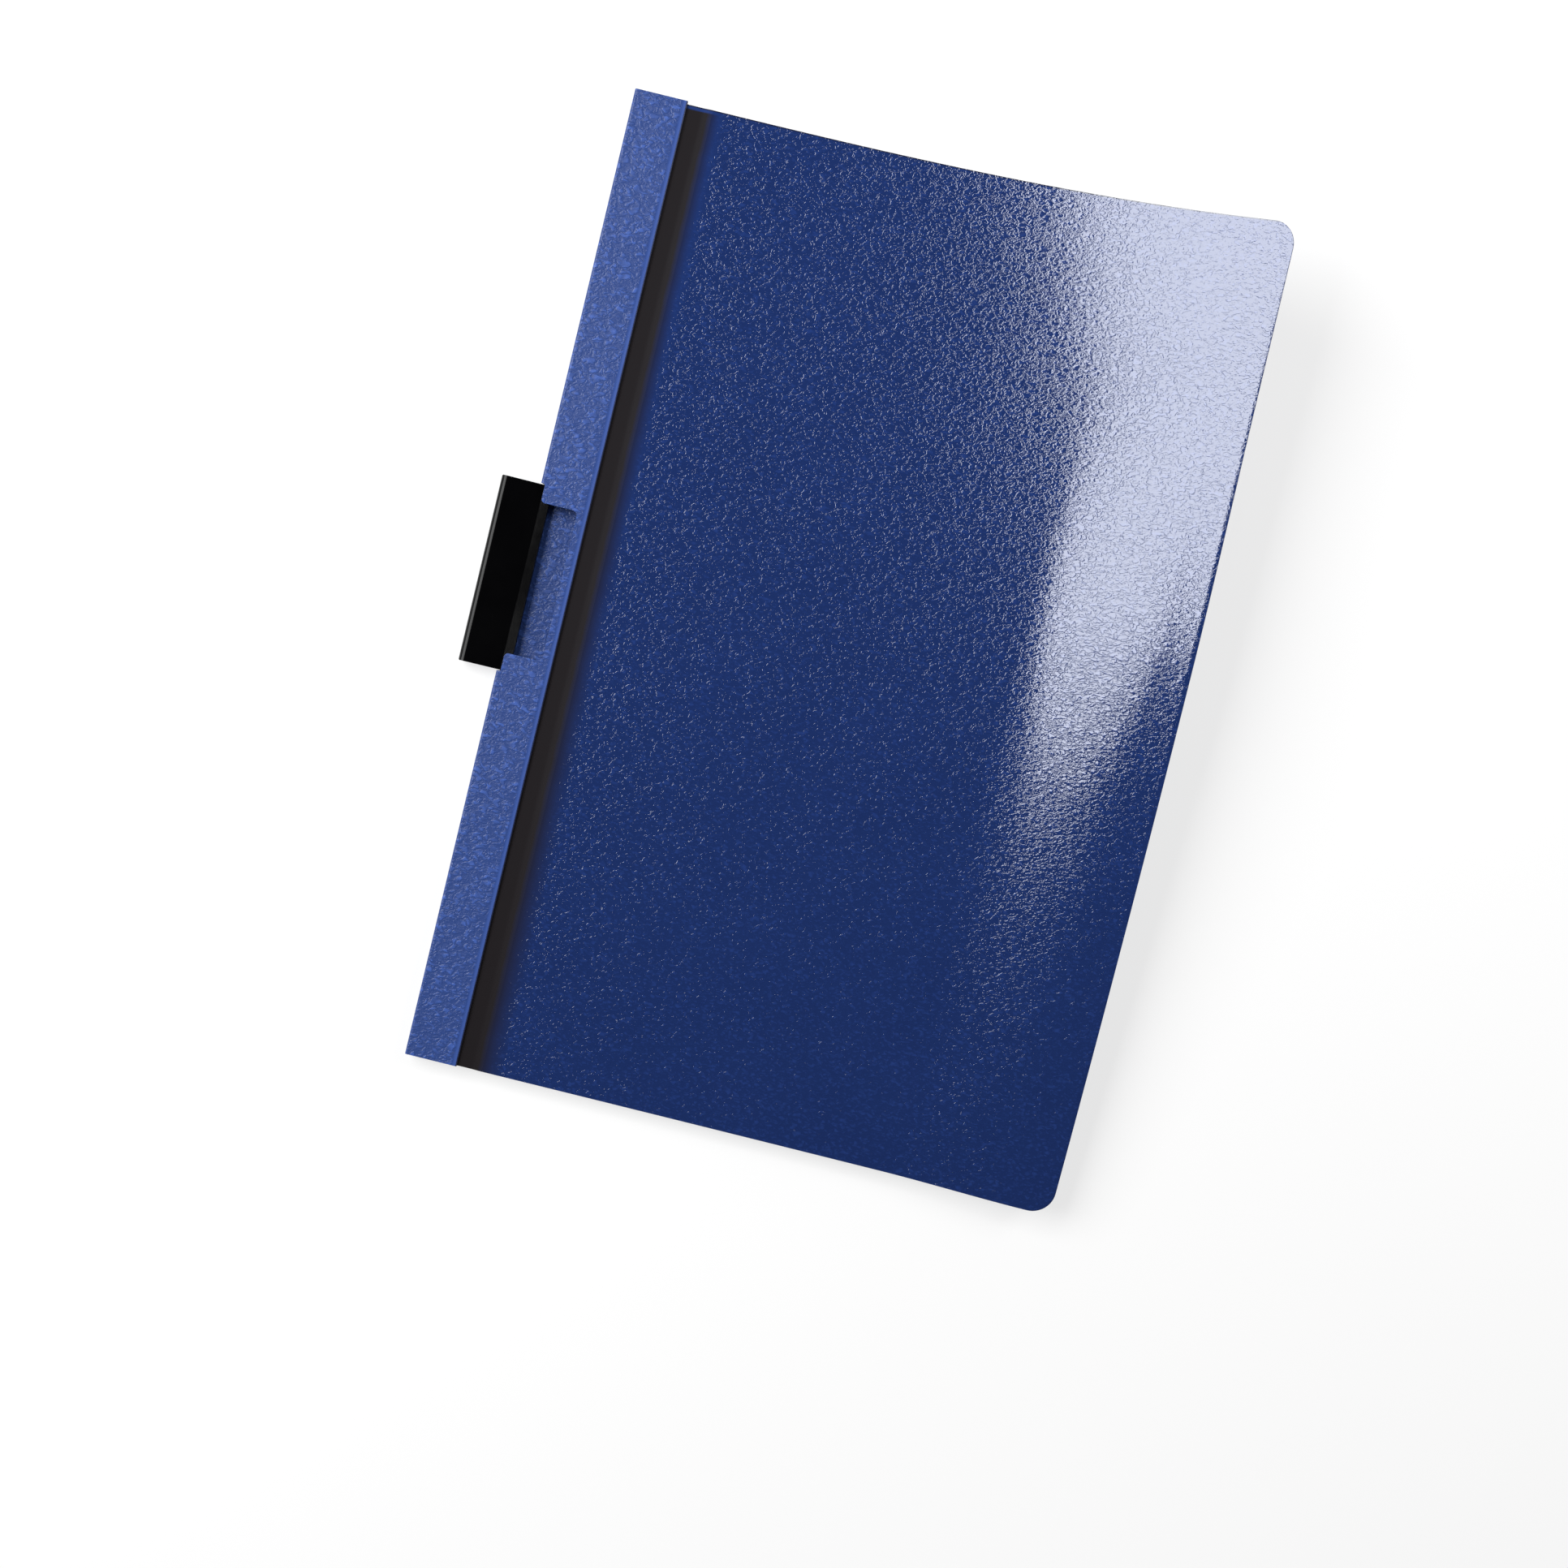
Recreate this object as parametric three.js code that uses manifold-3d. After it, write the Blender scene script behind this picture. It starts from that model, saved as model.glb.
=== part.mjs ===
// Clip folder for loose A4 sheets: a folded plastic sheet with a deep spine, a front cover on a living hinge,
// and a U-shaped spring-steel clip that slides out sideways through a notch in the spine.
// Millimetres, +Z up. The folder lies flat on its back cover, spine on the left, top edge towards +Y.
// The origin is the centre of the back cover's underside.

import * as THREE from "three";
import { mergeVertices } from "three/addons/utils/BufferGeometryUtils.js";
import Module from "manifold-3d";

const wasm = await Module();
wasm.setup();

// Folded sheet: back cover, spine wall and front strip in one piece
const folderHeight = 312;
const folderWidth = 211;
const sheetThickness = 0.5;
const spineDepth = 6.4;
const foldRadius = 0.9;
const stripWidth = 17;
const stripEdgeRound = 0.4;
const outerCornerRadius = 7.5;

// Front cover, welded under the strip and bent at a groove beside it
const coverThickness = 0.5;
const weldWidth = 3.4;
const coverTopSetback = 0.8;
const coverBottomSetback = 0.2;
const hingeGap = 0.3;
const grooveWidth = 7.3;
const grooveDepth = 0.4;
const shoulderWidth = 10;
const topCurl = 38;
const bottomCurl = 2;
const curlPower = 2.8;

// Spring-steel clip
const clipLength = 60;
const clipReach = 16.5;
const clipSteel = 0.6;
const clipDepth = 4.6;
const clipBendRadius = 1.9;
const clipCornerRadius = 0.6;
const lipLength = 2.9;
const lipGap = 0.4;
const lipFlare = 0.8;
const earLength = 2.5;
const earCornerRadius = 0.8;

// Stamped openings for the clip
const clipSideClearance = 0.3;
const earClearance = 0.3;
const notchDepth = 1.4;
const notchCornerRadius = 0.7;
const tabCornerRadius = 1.3;
const windowLength = 48.5;
const windowDepth = 13.4;
const windowCornerRadius = 1.8;

// Smoothness of the shapes
const arcSegments = 6;
const cornerRows = 5;
const middleRows = 14;
const grooveColumns = 2;
const shoulderColumns = 6;
const openColumns = 20;

// Sizes that follow from the ones above
const halfHeight = folderHeight / 2;
const stripUnderside = spineDepth - sheetThickness;
const weldStart = stripWidth - weldWidth;
const coverStart = stripWidth + hingeGap;
const coverWidth = folderWidth - coverStart;
const coverTop = halfHeight - coverTopSetback;
const coverBottom = -halfHeight + coverBottomSetback;
const coverHeight = coverTop - coverBottom;
const coverCentre = (coverTop + coverBottom) / 2;
const coverUnderside = stripUnderside - coverThickness;
const clipMiddle = spineDepth / 2;
const clipThroat = clipReach - lipLength;
const clipPulledOut = clipThroat - sheetThickness - earClearance;
const notchLength = clipLength + 2 * clipSideClearance;
const cutMargin = 1;
const quarterTurn = Math.PI / 2;
const circleShare = 0.5523;

// A closed outline through the points [x, y, radius], whose right-angled corners are rounded by their radius.
function roundedOutline(points) {
  const shape = new THREE.Shape();
  points.forEach(([x, y, radius = 0], index) => {
    const corner = new THREE.Vector2(x, y);
    const [beforeX, beforeY] = points.at(index - 1);
    const [afterX, afterY] = points[(index + 1) % points.length];
    const back = new THREE.Vector2(beforeX, beforeY).sub(corner).normalize();
    const ahead = new THREE.Vector2(afterX, afterY).sub(corner).normalize();
    const from = corner.clone().addScaledVector(back, radius);
    const to = corner.clone().addScaledVector(ahead, radius);
    if (index === 0) shape.moveTo(from.x, from.y);
    else shape.lineTo(from.x, from.y);
    if (radius === 0) return;
    const leave = corner.clone().addScaledVector(back, radius * (1 - circleShare));
    const arrive = corner.clone().addScaledVector(ahead, radius * (1 - circleShare));
    shape.bezierCurveTo(leave.x, leave.y, arrive.x, arrive.y, to.x, to.y);
  });
  shape.closePath();
  return shape;
}

// Extrudes an outline in the X-Y plane upwards from one height to another.
function extrudeUp(shape, low, high) {
  const settings = { depth: high - low, bevelEnabled: false, curveSegments: arcSegments };
  return new THREE.ExtrudeGeometry(shape, settings).translate(0, 0, low);
}

// Extrudes an X-Z section along Y, centred on Y = 0.
function extrudeAlongY(section, length) {
  const settings = { depth: length, bevelEnabled: false, curveSegments: arcSegments };
  return new THREE.ExtrudeGeometry(section, settings).rotateX(quarterTurn).translate(0, length / 2, 0);
}

// A closed geometry as a solid that can be cut and joined.
function toSolid(geometry) {
  const bare = geometry.clone();
  bare.deleteAttribute("normal");
  bare.deleteAttribute("uv");
  const merged = mergeVertices(bare);
  return new wasm.Manifold(
    new wasm.Mesh({
      numProp: 3,
      vertProperties: merged.attributes.position.array,
      triVerts: new Uint32Array(merged.index.array),
    }),
  );
}

// A cut or joined solid as a geometry again.
function toGeometry(solid) {
  const mesh = solid.getMesh();
  const geometry = new THREE.BufferGeometry();
  geometry.setAttribute("position", new THREE.BufferAttribute(mesh.vertProperties, 3));
  geometry.setIndex(new THREE.BufferAttribute(mesh.triVerts, 1));
  geometry.computeVertexNormals();
  return geometry;
}

const coverPlastic = new THREE.MeshStandardMaterial({ color: 0x2c468e, roughness: 0.4, metalness: 0 });
const lacqueredSteel = new THREE.MeshStandardMaterial({ color: 0x060608, roughness: 0.2, metalness: 0.4 });

// Section of the folded sheet, from the back cover's free edge round the spine to the strip's free edge.
function foldedSection() {
  const inside = foldRadius - sheetThickness;
  const section = new THREE.Shape();
  section.moveTo(folderWidth, 0);
  section.lineTo(foldRadius, 0);
  section.absarc(foldRadius, foldRadius, foldRadius, -quarterTurn, -2 * quarterTurn, true);
  section.lineTo(0, spineDepth - foldRadius);
  section.absarc(foldRadius, spineDepth - foldRadius, foldRadius, 2 * quarterTurn, quarterTurn, true);
  section.lineTo(stripWidth - stripEdgeRound, spineDepth);
  section.absarc(stripWidth - stripEdgeRound, spineDepth - stripEdgeRound, stripEdgeRound, quarterTurn, 0, true);
  section.lineTo(stripWidth, stripUnderside);
  section.lineTo(foldRadius, stripUnderside);
  section.absarc(foldRadius, spineDepth - foldRadius, inside, quarterTurn, 2 * quarterTurn, false);
  section.lineTo(sheetThickness, foldRadius);
  section.absarc(foldRadius, foldRadius, inside, 2 * quarterTurn, 3 * quarterTurn, false);
  section.lineTo(folderWidth, sheetThickness);
  section.closePath();
  return section;
}

// Notch through the spine wall and the back cover's edge, as long as the clip.
function spineNotchCutter() {
  const reach = notchLength / 2;
  const outline = roundedOutline([
    [-cutMargin, -reach],
    [notchDepth, -reach, notchCornerRadius],
    [notchDepth, reach, notchCornerRadius],
    [-cutMargin, reach],
  ]);
  return toSolid(extrudeUp(outline, -cutMargin, clipMiddle));
}

// Stepped cut-out in the strip: the same notch, then a shorter window behind it, so that a round-cornered tab
// stays over each end of the clip.
function stripCutter() {
  const notchReach = notchLength / 2;
  const windowReach = windowLength / 2;
  const outline = roundedOutline([
    [-cutMargin, -notchReach],
    [notchDepth, -notchReach, notchCornerRadius],
    [notchDepth, -windowReach, tabCornerRadius],
    [windowDepth, -windowReach, windowCornerRadius],
    [windowDepth, windowReach, windowCornerRadius],
    [notchDepth, windowReach, tabCornerRadius],
    [notchDepth, notchReach, notchCornerRadius],
    [-cutMargin, notchReach],
  ]);
  return toSolid(extrudeUp(outline, clipMiddle, spineDepth + cutMargin));
}

function foldedSheet() {
  const outline = roundedOutline([
    [-cutMargin, -halfHeight],
    [folderWidth, -halfHeight, outerCornerRadius],
    [folderWidth, halfHeight, outerCornerRadius],
    [-cutMargin, halfHeight],
  ]);
  const blank = toSolid(extrudeUp(outline, -cutMargin, spineDepth + cutMargin));
  const folded = toSolid(extrudeAlongY(foldedSection(), folderHeight + 2 * cutMargin));
  const trimmed = folded.intersect(blank).subtract(spineNotchCutter()).subtract(stripCutter());
  const mesh = new THREE.Mesh(toGeometry(trimmed), coverPlastic);
  mesh.name = "back_cover_and_spine";
  return mesh;
}

// The cover's left margin, welded flat against the underside of the strip.
function weldMargin() {
  const geometry = new THREE.BoxGeometry(weldWidth, coverHeight, coverThickness);
  const mesh = new THREE.Mesh(geometry, coverPlastic);
  mesh.name = "front_cover_weld_margin";
  mesh.position.set(weldStart + weldWidth / 2, coverCentre, stripUnderside - coverThickness / 2);
  return mesh;
}

// Height of the cover's underside at an arc length from the hinge, and how steeply it climbs there.
function coverHeightAt(arc, y) {
  const share = (y - coverBottom) / coverHeight;
  const rise = bottomCurl + (topCurl - bottomCurl) * share;
  const shoulder = THREE.MathUtils.smoothstep(arc, grooveWidth, grooveWidth + shoulderWidth);
  return coverUnderside - grooveDepth * (1 - shoulder) + rise * (Math.max(0, arc) / coverWidth) ** curlPower;
}

// How far the curl has drawn the sheet back towards the hinge, from the square of its slope.
function curlShortening(arc, y) {
  const share = (y - coverBottom) / coverHeight;
  const rise = bottomCurl + (topCurl - bottomCurl) * share;
  const order = 2 * curlPower - 1;
  return ((rise * curlPower) ** 2 / (2 * coverWidth * order)) * (arc / coverWidth) ** order;
}

// A point of the curled cover, raised off its underside by lift along the sheet's normal.
function coverPoint(arc, y, lift) {
  const step = 0.01;
  const slope = (coverHeightAt(arc + step, y) - coverHeightAt(arc - step, y)) / (2 * step);
  const angle = Math.atan(slope);
  const x = coverStart + arc - curlShortening(arc, y) - lift * Math.sin(angle);
  const z = coverHeightAt(arc, y) + lift * Math.cos(angle);
  return new THREE.Vector3(x, y, z);
}

// Evenly spaced values after start, up to and with end.
function spread(start, end, count) {
  return Array.from({ length: count }, (_, index) => start + ((end - start) * (index + 1)) / count);
}

// Distances across the cover, closest together at the groove and its shoulder.
function coverColumns() {
  const shoulderEnd = grooveWidth + shoulderWidth;
  return [
    0,
    ...spread(0, grooveWidth, grooveColumns),
    ...spread(grooveWidth, shoulderEnd, shoulderColumns),
    ...spread(shoulderEnd, coverWidth, openColumns),
  ];
}

// Distances along the cover, closest together at the rounded corners.
function coverRows() {
  const straight = coverHeight - 2 * outerCornerRadius;
  const bottomArc = Array.from({ length: cornerRows + 1 }, (_, index) => {
    return outerCornerRadius * (1 - Math.sin(quarterTurn * (1 - index / cornerRows)));
  });
  const topArc = bottomArc.map((distance) => coverHeight - distance).reverse();
  const middle = spread(outerCornerRadius, outerCornerRadius + straight, middleRows);
  return [...bottomArc, ...middle, ...topArc.slice(1)].map((distance) => coverBottom + distance);
}

// How far the rounded corner pulls in the free edge on a row.
function cornerInset(y) {
  const fromEnd = Math.min(y - coverBottom, coverTop - y);
  const into = Math.max(0, outerCornerRadius - fromEnd);
  return outerCornerRadius - Math.sqrt(Math.max(0, outerCornerRadius ** 2 - into ** 2));
}

// The swinging cover: a box divided into columns and rows, each corner of which is moved onto the curled sheet.
function frontCover() {
  const columns = coverColumns();
  const rows = coverRows();
  const insetZone = 4 * outerCornerRadius;
  const geometry = new THREE.BoxGeometry(1, 1, 1, columns.length - 1, rows.length - 1, 1);
  const position = geometry.getAttribute("position");
  for (let index = 0; index < position.count; index += 1) {
    const column = Math.round((position.getX(index) + 0.5) * (columns.length - 1));
    const row = Math.round((position.getY(index) + 0.5) * (rows.length - 1));
    const y = rows[row];
    const nearEdge = Math.max(0, columns[column] - coverWidth + insetZone) / insetZone;
    const arc = columns[column] - nearEdge * cornerInset(y);
    const lift = (position.getZ(index) + 0.5) * coverThickness;
    const point = coverPoint(arc, y, lift);
    position.setXYZ(index, point.x, point.y, point.z);
  }
  geometry.computeVertexNormals();
  const mesh = new THREE.Mesh(geometry, coverPlastic);
  mesh.name = "front_cover";
  return mesh;
}

// Section of the clip: a flat back, two bends, jaws that close towards each other and lips that flare apart.
function clipSection() {
  const halfDepth = clipDepth / 2;
  const bendCentre = halfDepth - clipBendRadius;
  const insideRadius = clipBendRadius - clipSteel;
  const throatOutside = lipGap / 2 + clipSteel;
  const jawAngle = Math.atan2(halfDepth - throatOutside, clipThroat - clipBendRadius);
  const bendEnd = quarterTurn - jawAngle;
  const section = new THREE.Shape();
  section.moveTo(0, bendCentre);
  section.absarc(clipBendRadius, bendCentre, clipBendRadius, 2 * quarterTurn, bendEnd, true);
  section.lineTo(clipThroat, throatOutside);
  section.lineTo(clipReach, throatOutside + lipFlare);
  section.lineTo(clipReach, lipGap / 2 + lipFlare);
  section.lineTo(clipThroat, lipGap / 2);
  section.absarc(clipBendRadius, bendCentre, insideRadius, bendEnd, 2 * quarterTurn, false);
  section.absarc(clipBendRadius, -bendCentre, insideRadius, 2 * quarterTurn, -bendEnd, false);
  section.lineTo(clipThroat, -lipGap / 2);
  section.lineTo(clipReach, -lipGap / 2 - lipFlare);
  section.lineTo(clipReach, -throatOutside - lipFlare);
  section.lineTo(clipThroat, -throatOutside);
  section.absarc(clipBendRadius, -bendCentre, clipBendRadius, -bendEnd, -2 * quarterTurn, true);
  section.closePath();
  return section;
}

// The bent section cut to the plan of the clip, whose ears stand out at the lips and catch behind the spine wall.
function slidingClip() {
  const bodyReach = clipLength / 2;
  const earReach = bodyReach + earLength;
  const outline = roundedOutline([
    [0, -bodyReach, clipCornerRadius],
    [clipThroat, -bodyReach],
    [clipThroat, -earReach, earCornerRadius],
    [clipReach, -earReach, earCornerRadius],
    [clipReach, earReach, earCornerRadius],
    [clipThroat, earReach, earCornerRadius],
    [clipThroat, bodyReach],
    [0, bodyReach, clipCornerRadius],
  ]);
  const plan = toSolid(extrudeUp(outline, -clipDepth, clipDepth));
  const bent = toSolid(extrudeAlongY(clipSection(), 2 * earReach + 2 * cutMargin));
  const mesh = new THREE.Mesh(toGeometry(bent.intersect(plan)), lacqueredSteel);
  mesh.name = "sliding_clip";
  mesh.position.set(-clipPulledOut, 0, clipMiddle);
  return mesh;
}

const fromSpine = new THREE.Group();
fromSpine.position.x = -folderWidth / 2;
fromSpine.add(foldedSheet(), weldMargin(), frontCover(), slidingClip());

const clipFolder = new THREE.Group();
clipFolder.add(fromSpine);

export default clipFolder;
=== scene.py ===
import math

import bmesh
import bpy
from mathutils import Matrix, Vector


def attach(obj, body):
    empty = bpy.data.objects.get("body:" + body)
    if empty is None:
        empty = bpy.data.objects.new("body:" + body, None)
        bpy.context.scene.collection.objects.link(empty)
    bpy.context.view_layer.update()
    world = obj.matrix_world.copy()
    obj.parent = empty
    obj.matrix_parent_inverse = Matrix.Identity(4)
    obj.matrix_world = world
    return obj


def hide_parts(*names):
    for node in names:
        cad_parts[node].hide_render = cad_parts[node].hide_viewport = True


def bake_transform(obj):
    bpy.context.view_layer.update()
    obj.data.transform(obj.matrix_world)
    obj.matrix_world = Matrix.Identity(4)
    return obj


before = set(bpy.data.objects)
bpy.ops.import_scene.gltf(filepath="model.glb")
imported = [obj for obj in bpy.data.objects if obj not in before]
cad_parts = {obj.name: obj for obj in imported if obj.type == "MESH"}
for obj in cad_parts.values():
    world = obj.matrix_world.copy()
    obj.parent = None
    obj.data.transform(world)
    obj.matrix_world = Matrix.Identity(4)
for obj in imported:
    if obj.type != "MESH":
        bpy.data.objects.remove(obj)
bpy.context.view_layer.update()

mm = 0.001  # lengths in the dictionaries are in millimetres
spineX = -105.5  # the spine's outer face, from the origin


def smoothStep(value, low, high):
    share = min(1.0, max(0.0, (value - low) / (high - low)))
    return share * share * (3 - 2 * share)


def newObject(name, mesh):
    obj = bpy.data.objects.new(name, mesh)
    bpy.context.scene.collection.objects.link(obj)
    return obj


def shadeSmooth(mesh, angle):
    for face in mesh.polygons:
        face.use_smooth = True
    mesh.set_sharp_from_angle(angle=math.radians(angle))


# Flat faces keep their own normals beside rounded edges
def weighNormals(piece):
    modifier = piece.modifiers.new("face normals", "WEIGHTED_NORMAL")
    modifier.mode = "FACE_AREA"
    modifier.weight = 50
    modifier.keep_sharp = True


def newGroup(name, inputs, outputs):
    group = bpy.data.node_groups.new(name, "ShaderNodeTree")
    for socketName, socketType, value in inputs:
        socket = group.interface.new_socket(socketName, in_out="INPUT", socket_type=socketType)
        if value is not None:
            socket.default_value = value
    for socketName, socketType in outputs:
        group.interface.new_socket(socketName, in_out="OUTPUT", socket_type=socketType)
    start = group.nodes.new("NodeGroupInput")
    end = group.nodes.new("NodeGroupOutput")
    return group, start, end


def connect(tree, node, inputs):
    for key, value in inputs.items():
        if isinstance(value, bpy.types.NodeSocket):
            tree.links.new(value, node.inputs[key])
        else:
            node.inputs[key].default_value = value
    return node


def calculate(tree, operation, first, second=0.0, third=0.0, clamp=False):
    node = tree.nodes.new("ShaderNodeMath")
    node.operation = operation
    node.use_clamp = clamp
    connect(tree, node, {0: first, 1: second, 2: third})
    return node.outputs[0]


def ramp(tree, value, low, high, start=0.0, end=1.0):
    node = tree.nodes.new("ShaderNodeMapRange")
    node.interpolation_type = "SMOOTHSTEP"
    connect(tree, node, {"Value": value, "From Min": low, "From Max": high, "To Min": start, "To Max": end})
    return node.outputs["Result"]


def mixColour(tree, factor, first, second):
    node = tree.nodes.new("ShaderNodeMix")
    node.data_type = "RGBA"
    connect(tree, node, {0: factor, 6: first, 7: second})
    return node.outputs[2]


def noise(tree, vector, scale, detail=2.0, roughness=0.5, distortion=0.0):
    node = tree.nodes.new("ShaderNodeTexNoise")
    connect(tree, node, {"Vector": vector, "Scale": scale, "Detail": detail,
                         "Roughness": roughness, "Distortion": distortion})
    return node.outputs[0]


def newMaterial(name):
    material = bpy.data.materials.new(name)
    material.use_nodes = True
    tree = material.node_tree
    return material, tree, tree.nodes["Principled BSDF"]


grainShape = {
    "turn": -52,
    "drawnOut": 0.62,
    "warp": 0.9,
    "bulgeShare": 0.45,
    "wrinkleShare": 0.35,
    "fineShare": 0.12,
    "wrinkleWidth": 0.13,
    "cloudScale": 28.0,
}


# Embossed leather grain: wrinkled cells, drawn out along a diagonal
def makeLeatherGrain():
    g = grainShape
    group, start, end = newGroup(
        "leather grain",
        [("Vector", "NodeSocketVector", None), ("Cell Size", "NodeSocketFloat", 0.0016)],
        [("Height", "NodeSocketFloat"), ("Cloud", "NodeSocketFloat")],
    )
    turned = group.nodes.new("ShaderNodeMapping")
    connect(group, turned, {"Vector": start.outputs["Vector"], "Rotation": (0, 0, math.radians(g["turn"])),
                            "Scale": (g["drawnOut"], 1.0, 1.0)})
    vector = turned.outputs["Vector"]
    density = calculate(group, "DIVIDE", 1.0, start.outputs["Cell Size"])
    warpNode = group.nodes.new("ShaderNodeTexNoise")
    warpDensity = calculate(group, "MULTIPLY", density, 0.8)
    connect(group, warpNode, {"Vector": vector, "Scale": warpDensity, "Detail": 2.0})
    warpAmount = group.nodes.new("ShaderNodeVectorMath")
    warpAmount.operation = "SCALE"
    warpReach = calculate(group, "MULTIPLY", start.outputs["Cell Size"], g["warp"])
    connect(group, warpAmount, {0: warpNode.outputs["Color"], "Scale": warpReach})
    warped = group.nodes.new("ShaderNodeVectorMath")
    warped.operation = "ADD"
    connect(group, warped, {0: vector, 1: warpAmount.outputs[0]})
    cells = group.nodes.new("ShaderNodeTexVoronoi")
    cells.feature = "SMOOTH_F1"
    connect(group, cells, {"Vector": warped.outputs[0], "Scale": density, "Smoothness": 0.5})
    bulge = calculate(group, "SUBTRACT", 1.0, cells.outputs["Distance"])
    folds = noise(group, warped.outputs[0], calculate(group, "MULTIPLY", density, 0.9), 2.0, 0.55, 0.4)
    ridge = calculate(group, "ABSOLUTE", calculate(group, "SUBTRACT", folds, 0.5))
    wrinkle = ramp(group, ridge, 0.0, g["wrinkleWidth"])
    fine = noise(group, vector, calculate(group, "MULTIPLY", density, 2.2), 2.0, 0.6)
    height = calculate(group, "MULTIPLY", bulge, g["bulgeShare"])
    height = calculate(group, "MULTIPLY_ADD", wrinkle, g["wrinkleShare"], height)
    height = calculate(group, "MULTIPLY_ADD", fine, g["fineShare"], height)
    cloud = noise(group, start.outputs["Vector"], g["cloudScale"], 3.0, 0.55)
    connect(group, end, {"Height": height, "Cloud": cloud})
    return group


# Surface wear: sparse fine scratches and dull patches
def makeRubbing():
    group, start, end = newGroup(
        "rubbing",
        [("Vector", "NodeSocketVector", None), ("Scratch Scale", "NodeSocketFloat", 90.0)],
        [("Scratch", "NodeSocketFloat"), ("Patch", "NodeSocketFloat")],
    )
    drawn = group.nodes.new("ShaderNodeMapping")
    connect(group, drawn, {"Vector": start.outputs["Vector"], "Rotation": (0, 0, math.radians(24)),
                           "Scale": (1.0, 14.0, 4.0)})
    line = noise(group, drawn.outputs["Vector"], start.outputs["Scratch Scale"], 4.0, 0.7)
    patch = noise(group, start.outputs["Vector"], 40.0, 3.0, 0.6)
    connect(group, end, {"Scratch": ramp(group, line, 0.66, 0.76), "Patch": patch})
    return group


leatherGrain = makeLeatherGrain()
rubbing = makeRubbing()


def place(tree, group, inputs):
    node = tree.nodes.new("ShaderNodeGroup")
    node.node_tree = group
    return connect(tree, node, inputs)


coverBlues = {"navy": (0.0135, 0.0345, 0.150, 1), "deep": (0.0095, 0.0258, 0.117, 1)}
# The folded sheet is the same plastic as the cover, painted lighter as a painted highlight for the light
# falling on the strip
litStripBlues = {"navy": (0.0390, 0.0820, 0.290, 1), "deep": (0.0325, 0.0690, 0.250, 1)}

plasticLook = {
    "cover": {**coverBlues, "cell": 1.05, "relief": 0.078, "paintedReliefShare": 0.45,
              "specular": 1.0, "roughness": 0.05},
    "groove": {**coverBlues, "cell": 1.0, "relief": 0.11, "paintedReliefShare": 0.4,
               "specular": 0.05, "roughness": 0.5},
    "strip": {**litStripBlues, "cell": 1.6, "relief": 0.22, "paintedReliefShare": 0.7,
              "specular": 0.3, "roughness": 0.32},
    "paintedShadowBlack": (0.0120, 0.0100, 0.0110, 1),
    "tint": (0.88, 0.91, 1.0, 1),
    "paintedCrestLight": 1.35,
    "paintedHollowShade": 0.62,
}


# Blue embossed plastic: smooth masks the places without grain, and the shade mask marks the places painted
# near-black as shadow; the grain's crests are painted lighter and its hollows darker as painted relief
# shading
def finishPlastic(tree, shader, vector, look, smooth, paintedShade):
    grain = place(tree, leatherGrain, {"Vector": vector, "Cell Size": look["cell"] * mm})
    wear = place(tree, rubbing, {"Vector": vector})
    colour = mixColour(tree, grain.outputs["Cloud"], look["deep"], look["navy"])
    # Painted relief shading: the grain's crests are painted lighter and its hollows darker, as light would
    # fall on them
    crestHighlightColour = tuple(value * plasticLook["paintedCrestLight"] for value in look["navy"][:3]) + (1,)
    hollowShadeColour = tuple(value * plasticLook["paintedHollowShade"] for value in look["deep"][:3]) + (1,)
    litCrestShare = ramp(tree, grain.outputs["Height"], 0.45, 0.85)
    relief = mixColour(tree, litCrestShare, hollowShadeColour, crestHighlightColour)
    grained = calculate(tree, "SUBTRACT", 1.0, smooth)
    colour = mixColour(tree, calculate(tree, "MULTIPLY", grained, look["paintedReliefShare"]), colour, relief)
    # Painted shadow: near-black colour wherever the shade mask is set
    colour = mixColour(tree, paintedShade, colour, plasticLook["paintedShadowBlack"])
    rough = ramp(tree, wear.outputs["Patch"], 0.3, 0.7, look["roughness"] - 0.02, look["roughness"] + 0.02)
    rough = calculate(tree, "MULTIPLY_ADD", wear.outputs["Scratch"], 0.05, rough)
    height = calculate(tree, "MULTIPLY", grain.outputs["Height"], grained)
    bump = tree.nodes.new("ShaderNodeBump")
    connect(tree, bump, {"Height": height, "Distance": look["relief"] * mm, "Strength": 1.0})
    connect(tree, shader, {
        "Base Color": colour, "Roughness": rough, "Normal": bump.outputs["Normal"],
        "Specular IOR Level": look["specular"], "Specular Tint": plasticLook["tint"],
    })


# Front cover with its welded margin: one sheet that is curled towards its top right corner
coverSheet = {
    "weldStart": 13.6,
    "coverStart": 17.3,
    "freeEdge": 211.0,
    "bottom": -155.8,
    "top": 155.2,
    "underside": 5.4,
    "thickness": 0.5,
    "grooveDepth": 0.4,
    "shoulderStart": 4.4,
    "shoulderEnd": 7.9,
    "topCurl": 38.0,
    "bottomCurl": 2.0,
    "curlPower": 2.8,
    "edgeBend": 3.6,
    "bendStart": 139.0,
    "bendEnd": 184.0,
    "bendFadeStart": 20.0,
    "bendFadeEnd": 110.0,
    "cornerRadius": 7.5,
    "edgeRound": 0.13,
    "hingeStart": 17.1,
    "hingeEnd": 24.6,
    "hingeHeight": 6.0,
    "marginColumns": 6,
    "grooveColumns": 8,
    "shoulderColumns": 10,
    "openColumns": 110,
    "cornerRows": 12,
    "openRows": 130,
}

grooveShadowAndSmoothZone = {
    "shadowEnd": 6.4,
    "softBelow": 8.0,
    "softAbove": 4.2,
    "wander": 0.8,
    "topMargin": 1.0,
    "grainStart": 7.5,
    "grainFull": 14.0,
    "rimWidth": 0.55,
    "rimShade": 0.8,
}


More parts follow.
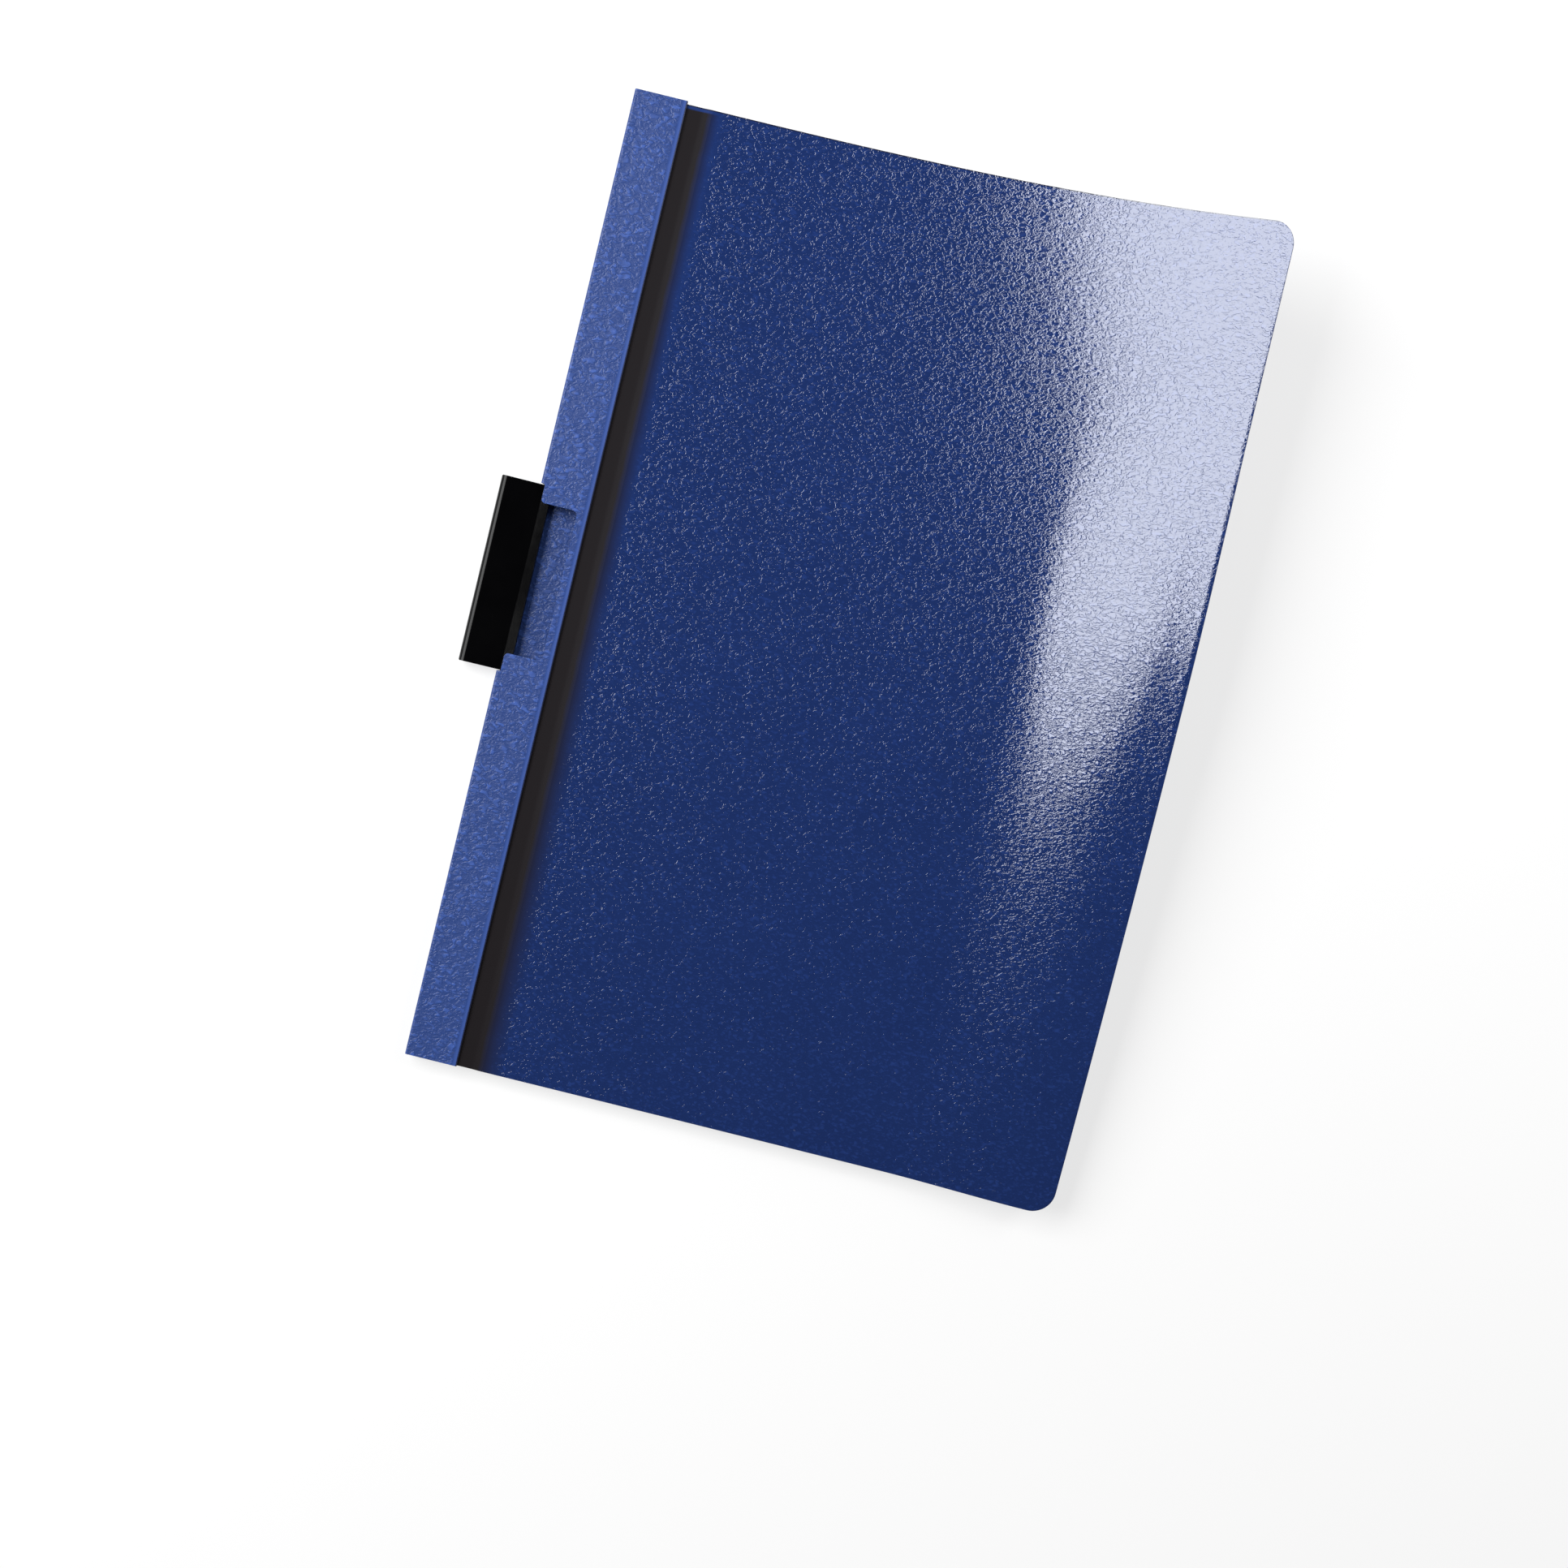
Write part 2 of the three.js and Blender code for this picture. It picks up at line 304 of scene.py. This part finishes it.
# Height of the sheet's underside, and how far the curl draws it back towards the spine
def coverLevel(arc, y):
    c = coverSheet
    share = (y - c["bottom"]) / (c["top"] - c["bottom"])
    rise = c["bottomCurl"] + (c["topCurl"] - c["bottomCurl"]) * share
    width = c["freeEdge"] - c["coverStart"]
    along = max(0.0, arc) / width
    sunk = c["grooveDepth"] * (1 - smoothStep(arc, c["shoulderStart"], c["shoulderEnd"]))
    if arc < 0:
        sunk = c["grooveDepth"] * smoothStep(arc, c["hingeStart"] - c["coverStart"] - 0.5, 0.0)
    bend = c["edgeBend"] * smoothStep(arc, c["bendStart"], c["bendEnd"])
    bend *= 1 - smoothStep(y, c["bendFadeStart"], c["bendFadeEnd"])
    level = c["underside"] - sunk + rise * along ** c["curlPower"] + bend
    power = 2 * c["curlPower"] - 1
    pulled = (rise * c["curlPower"]) ** 2 / (2 * width * power) * along ** power
    return level, pulled


def coverPoint(arc, y, lift):
    step = 0.05
    level, pulled = coverLevel(arc, y)
    ahead = coverLevel(arc + step, y)
    behind = coverLevel(arc - step, y)
    slope = math.atan2(ahead[0] - behind[0], 2 * step)
    x = spineX + coverSheet["coverStart"] + arc - pulled - lift * math.sin(slope)
    return Vector((x, y, level + lift * math.cos(slope))) * mm


def makeCoverMaterial(name, look):
    material, tree, shader = newMaterial(name)
    uv = tree.nodes.new("ShaderNodeUVMap")
    uv.uv_map = "sheet"
    split = tree.nodes.new("ShaderNodeSeparateXYZ")
    tree.links.new(uv.outputs[0], split.inputs[0])
    arc, y = split.outputs["X"], split.outputs["Y"]
    # The pressed hinge groove is smooth; the raised strip's cast shadow is painted on it in near-black,
    # with a soft right side that widens downwards
    g = grooveShadowAndSmoothZone
    rightSoft = ramp(tree, y, -0.150, 0.150, g["softBelow"] * mm, g["softAbove"] * mm)
    wander = calculate(tree, "SUBTRACT", noise(tree, uv.outputs[0], 120.0, 2.0), 0.5)
    arcWandered = calculate(tree, "MULTIPLY_ADD", wander, g["wander"] * mm, arc)
    pastShadow = calculate(tree, "SUBTRACT", arcWandered, g["shadowEnd"] * mm)
    faded = calculate(tree, "SMOOTH_MIN", calculate(tree, "DIVIDE", pastShadow, rightSoft), 1.0, 0.1)
    grooveShadow = calculate(tree, "SUBTRACT", 1.0, faded, clamp=True)
    topLimit = (coverSheet["top"] - g["topMargin"]) * mm
    belowTop = ramp(tree, y, topLimit - 0.5 * mm, topLimit, 1.0, 0.0)
    paintedShade = calculate(tree, "MULTIPLY", grooveShadow, belowTop)
    # A thin painted shade line along the top edge, where the rounded edge turns dark
    rimStart = (coverSheet["top"] - g["rimWidth"]) * mm
    rimEnd = (coverSheet["top"] - 0.2) * mm
    paintedShade = calculate(tree, "MAXIMUM", paintedShade, ramp(tree, y, rimStart, rimEnd, 0.0, g["rimShade"]))
    smooth = ramp(tree, arc, g["grainStart"] * mm, g["grainFull"] * mm, 1.0, 0.0)
    finishPlastic(tree, shader, uv.outputs[0], look, smooth, paintedShade)
    return material


# Rounds the edges at which the faces turn by more than the angle
def roundEdges(bm, angle, width):
    limit = math.radians(angle)
    sharp = [edge for edge in bm.edges if len(edge.link_faces) == 2 and edge.calc_face_angle() > limit]
    bmesh.ops.bevel(bm, geom=sharp, offset=width * mm, offset_type="OFFSET", segments=2,
                    profile=0.5, affect="EDGES", material=-1, clamp_overlap=True)


def spreadEvenly(start, end, count, skipFirst=True):
    first = 1 if skipFirst else 0
    return [start + (end - start) * i / count for i in range(first, count + 1)]


def makeCover():
    c = coverSheet
    width = c["freeEdge"] - c["coverStart"]
    columns = spreadEvenly(c["weldStart"] - c["coverStart"], 0.0, c["marginColumns"], False)
    columns += spreadEvenly(0.0, c["shoulderStart"], c["grooveColumns"])
    columns += spreadEvenly(c["shoulderStart"], c["shoulderEnd"], c["shoulderColumns"])
    columns += spreadEvenly(c["shoulderEnd"], width, c["openColumns"])
    radius = c["cornerRadius"]
    turns = [math.radians(90 * i / c["cornerRows"]) for i in range(c["cornerRows"] + 1)]
    cornerRows = [radius * (1 - math.cos(turn)) for turn in turns]
    rows = [c["bottom"] + d for d in cornerRows]
    rows += spreadEvenly(c["bottom"] + radius, c["top"] - radius, c["openRows"])
    rows += [c["top"] - d for d in reversed(cornerRows[:-1])]
    bm = bmesh.new()
    uvLayer = bm.loops.layers.uv.new("sheet")
    arcLayer = bm.verts.layers.float.new("arc")
    alongLayer = bm.verts.layers.float.new("along")
    bmesh.ops.create_grid(bm, x_segments=len(columns) - 1, y_segments=len(rows) - 1, size=1.0)
    zone = 4 * radius  # the columns this near to the free edge give way to the round corners
    for vertex in bm.verts:
        i = round((vertex.co.x + 1) / 2 * (len(columns) - 1))
        j = round((vertex.co.y + 1) / 2 * (len(rows) - 1))
        y = rows[j]
        reach = max(0.0, radius - min(y - c["bottom"], c["top"] - y))
        inset = radius - math.sqrt(radius * radius - min(reach, radius) ** 2)
        arc = columns[i]
        arc -= inset * max(0.0, (arc - width + zone) / zone)
        vertex[arcLayer], vertex[alongLayer] = arc, y
        vertex.co = coverPoint(arc, y, 0.0)
    grown = bmesh.ops.extrude_face_region(bm, geom=list(bm.faces) + list(bm.edges), use_keep_orig=True)
    for vertex in [item for item in grown["geom"] if isinstance(item, bmesh.types.BMVert)]:
        vertex.co = coverPoint(vertex[arcLayer], vertex[alongLayer], c["thickness"])
    bmesh.ops.recalc_face_normals(bm, faces=list(bm.faces))
    roundEdges(bm, 60, c["edgeRound"])
    for face in bm.faces:
        middle = sum(loop.vert[arcLayer] for loop in face.loops) / len(face.loops)
        face.material_index = 1 if -1.0 < middle < c["shoulderEnd"] + 0.2 else 0
        for loop in face.loops:
            loop[uvLayer].uv = (loop.vert[arcLayer] * mm, loop.vert[alongLayer] * mm)
    mesh = bpy.data.meshes.new("front cover sheet")
    bm.to_mesh(mesh)
    bm.free()
    shadeSmooth(mesh, 50)
    mesh.materials.append(makeCoverMaterial("embossed blue cover", plasticLook["cover"]))
    mesh.materials.append(makeCoverMaterial("smooth hinge groove", plasticLook["groove"]))
    piece = newObject("front_cover_sheet", mesh)
    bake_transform(piece)
    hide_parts("front_cover", "front_cover_weld_margin")
    print("front cover sheet:", len(mesh.polygons), "faces")


# A merged copy of a CAD node, with its cut edges rounded a little
def roundedCopy(node, name, edgeRound, shape=None):
    bm = bmesh.new()
    bm.from_mesh(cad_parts[node].data)
    bmesh.ops.remove_doubles(bm, verts=list(bm.verts), dist=0.002 * mm)
    bmesh.ops.dissolve_limit(bm, angle_limit=math.radians(0.5), verts=list(bm.verts), edges=list(bm.edges))
    if shape is not None:
        shape(bm)
    roundEdges(bm, 40, edgeRound)
    mesh = bpy.data.meshes.new(name)
    bm.to_mesh(mesh)
    bm.free()
    shadeSmooth(mesh, 40)
    piece = newObject(name, mesh)
    weighNormals(piece)
    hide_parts(node)
    return piece


foldedSheet = {
    "edgeRound": 0.12,
    "stripEdge": 17.0,
    "smoothMargin": 1.5,
    "stepShadeStrength": 0.85,
}


def makeFoldedSheet():
    f = foldedSheet
    piece = roundedCopy("back_cover_and_spine", "folded_sheet", f["edgeRound"])
    material, tree, shader = newMaterial("embossed blue folded sheet")
    coordinates = tree.nodes.new("ShaderNodeTexCoord").outputs["Object"]
    split = tree.nodes.new("ShaderNodeSeparateXYZ")
    tree.links.new(coordinates, split.inputs[0])
    x, z = split.outputs["X"], split.outputs["Z"]
    stripEdge = (spineX + f["stripEdge"]) * mm
    onTop = ramp(tree, z, 4.5 * mm, 5.0 * mm)
    marginFrom = stripEdge - (f["smoothMargin"] + 0.5) * mm
    marginTo = stripEdge - (f["smoothMargin"] - 0.5) * mm
    nearEdge = ramp(tree, x, marginFrom, marginTo)
    smooth = calculate(tree, "MULTIPLY", nearEdge, onTop)
    # Painted shade on the strip's rounded right edge, where the step turns away from the light
    step = calculate(tree, "MULTIPLY", ramp(tree, x, stripEdge - 0.55 * mm, stripEdge - 0.25 * mm), onTop)
    paintedShade = calculate(tree, "MULTIPLY", step, f["stepShadeStrength"])
    finishPlastic(tree, shader, coordinates, plasticLook["strip"], smooth, paintedShade)
    piece.data.materials.append(material)
    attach(piece, "folder")
    print("folded sheet:", len(piece.data.polygons), "faces")


clip = {
    "middle": 3.2,
    "lipLength": 2.9,
    "lipSettle": 0.65,
    "edgeRound": 0.1,
    "lacquer": (0.0006, 0.0006, 0.0008, 1),
    "lacquerDull": (0.0014, 0.0014, 0.0017, 1),
    "roughness": 0.14,
    "specular": 0.16,
    "ripple": 0.006,
}


# The lips end almost flat, as their black face in the window shows
def settleLips(bm):
    reach = max(vertex.co.x for vertex in bm.verts)
    middle = clip["middle"] * mm
    for vertex in bm.verts:
        into = (vertex.co.x - reach) / mm + clip["lipLength"]
        if into > 0.1:
            side = 1 if vertex.co.z > middle else -1
            vertex.co.z -= side * clip["lipSettle"] * mm * into / clip["lipLength"]


def makeClip():
    piece = roundedCopy("sliding_clip", "spring_clip", clip["edgeRound"], settleLips)
    material, tree, shader = newMaterial("black lacquer on spring steel")
    coordinates = tree.nodes.new("ShaderNodeTexCoord").outputs["Object"]
    wear = place(tree, rubbing, {"Vector": coordinates, "Scratch Scale": 140.0})
    colour = mixColour(tree, wear.outputs["Patch"], clip["lacquer"], clip["lacquerDull"])
    rough = ramp(tree, wear.outputs["Patch"], 0.3, 0.7, clip["roughness"] - 0.04, clip["roughness"] + 0.04)
    rough = calculate(tree, "MULTIPLY_ADD", wear.outputs["Scratch"], 0.1, rough)
    ripple = noise(tree, coordinates, 420.0, 2.0)
    bump = tree.nodes.new("ShaderNodeBump")
    connect(tree, bump, {"Height": ripple, "Distance": clip["ripple"] * mm, "Strength": 1.0})
    connect(tree, shader, {"Base Color": colour, "Roughness": rough, "Normal": bump.outputs["Normal"],
                           "Specular IOR Level": clip["specular"]})
    piece.data.materials.append(material)
    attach(piece, "clip")
    print("spring clip:", len(piece.data.polygons), "faces")


studio = {
    "floorSize": 8.0,
    "floorWhite": (0.93, 0.93, 0.93, 1),
    "floorSpeck": 0.985,
    "floorGlow": 0.68,
    "worldZenith": 0.03,
    "worldHorizon": 0.7,
}

lamps = {
    "key softbox": {"at": (-1.262, 0.30, 1.0), "size": (1.7, 1.0), "radiance": 8.4, "turned": False},
    "near fill": {"at": (0.46, 0.36, 0.55), "size": (0.3, 0.3), "radiance": 9.0, "turned": True},
}


def makeStudio():
    s = studio
    bm = bmesh.new()
    bmesh.ops.create_grid(bm, x_segments=4, y_segments=4, size=s["floorSize"])
    bmesh.ops.translate(bm, vec=(0, 0, -0.05 * mm), verts=list(bm.verts))
    mesh = bpy.data.meshes.new("floor")
    bm.to_mesh(mesh)
    bm.free()
    material, tree, shader = newMaterial("white table")
    coordinates = tree.nodes.new("ShaderNodeTexCoord").outputs["Object"]
    speck = noise(tree, coordinates, 6.0, 3.0)
    dimmer = tuple(value * s["floorSpeck"] for value in s["floorWhite"][:3]) + (1,)
    connect(tree, shader, {"Base Color": mixColour(tree, speck, s["floorWhite"], dimmer),
                           "Roughness": 0.8, "Specular IOR Level": 0.0})
    glow = tree.nodes.new("ShaderNodeEmission")
    connect(tree, glow, {"Color": (1, 1, 1, 1), "Strength": 1.0})
    path = tree.nodes.new("ShaderNodeLightPath")
    seen = calculate(tree, "MAXIMUM", path.outputs["Is Camera Ray"], path.outputs["Is Glossy Ray"])
    seen = calculate(tree, "MAXIMUM", seen, path.outputs["Is Transmission Ray"])
    share = calculate(tree, "MULTIPLY", seen, s["floorGlow"])
    mixed = tree.nodes.new("ShaderNodeMixShader")
    tree.links.new(share, mixed.inputs[0])
    tree.links.new(shader.outputs[0], mixed.inputs[1])
    tree.links.new(glow.outputs[0], mixed.inputs[2])
    tree.links.new(mixed.outputs[0], tree.nodes["Material Output"].inputs["Surface"])
    mesh.materials.append(material)
    newObject("floor", mesh)

    world = bpy.data.worlds.new("studio")
    world.use_nodes = True
    bpy.context.scene.world = world
    tree = world.node_tree
    direction = tree.nodes.new("ShaderNodeTexCoord").outputs["Generated"]
    split = tree.nodes.new("ShaderNodeSeparateXYZ")
    tree.links.new(direction, split.inputs[0])
    level = ramp(tree, split.outputs["Z"], 0.15, 0.6, s["worldHorizon"], s["worldZenith"])
    background = tree.nodes["Background"]
    background.inputs["Color"].default_value = (1, 1, 1, 1)
    tree.links.new(level, background.inputs["Strength"])

    for name, lamp in lamps.items():
        light = bpy.data.lights.new(name, "AREA")
        light.shape = "RECTANGLE"
        light.size, light.size_y = lamp["size"]
        light.energy = lamp["radiance"] * math.pi * lamp["size"][0] * lamp["size"][1]
        obj = newObject(name, light)
        obj.location = lamp["at"]
        if lamp["turned"]:  # towards the folder; the others face straight down
            obj.rotation_euler = Vector(lamp["at"]).to_track_quat("Z", "Y").to_euler()
        obj.visible_camera = False
    print("studio ready")


camera = {
    "at": (-0.0059, -0.0073, 0.7013),
    "right": (0.971, 0.239, -0.016),
    "back": (0.004, 0.052, 0.999),
    "lens": 50.6,
}


def makeCamera():
    data = bpy.data.cameras.new("camera")
    data.sensor_width = 36
    data.lens = camera["lens"]
    back = Vector(camera["back"]).normalized()
    right = Vector(camera["right"])
    right = (right - back * right.dot(back)).normalized()
    up = back.cross(right)
    turned = Matrix((right, up, back)).transposed().to_4x4()
    obj = newObject("camera", data)
    obj.matrix_world = Matrix.Translation(Vector(camera["at"])) @ turned
    bpy.context.scene.camera = obj


bpy.context.scene.view_settings.view_transform = "Standard"
makeCover()
makeFoldedSheet()
makeClip()
makeStudio()
makeCamera()
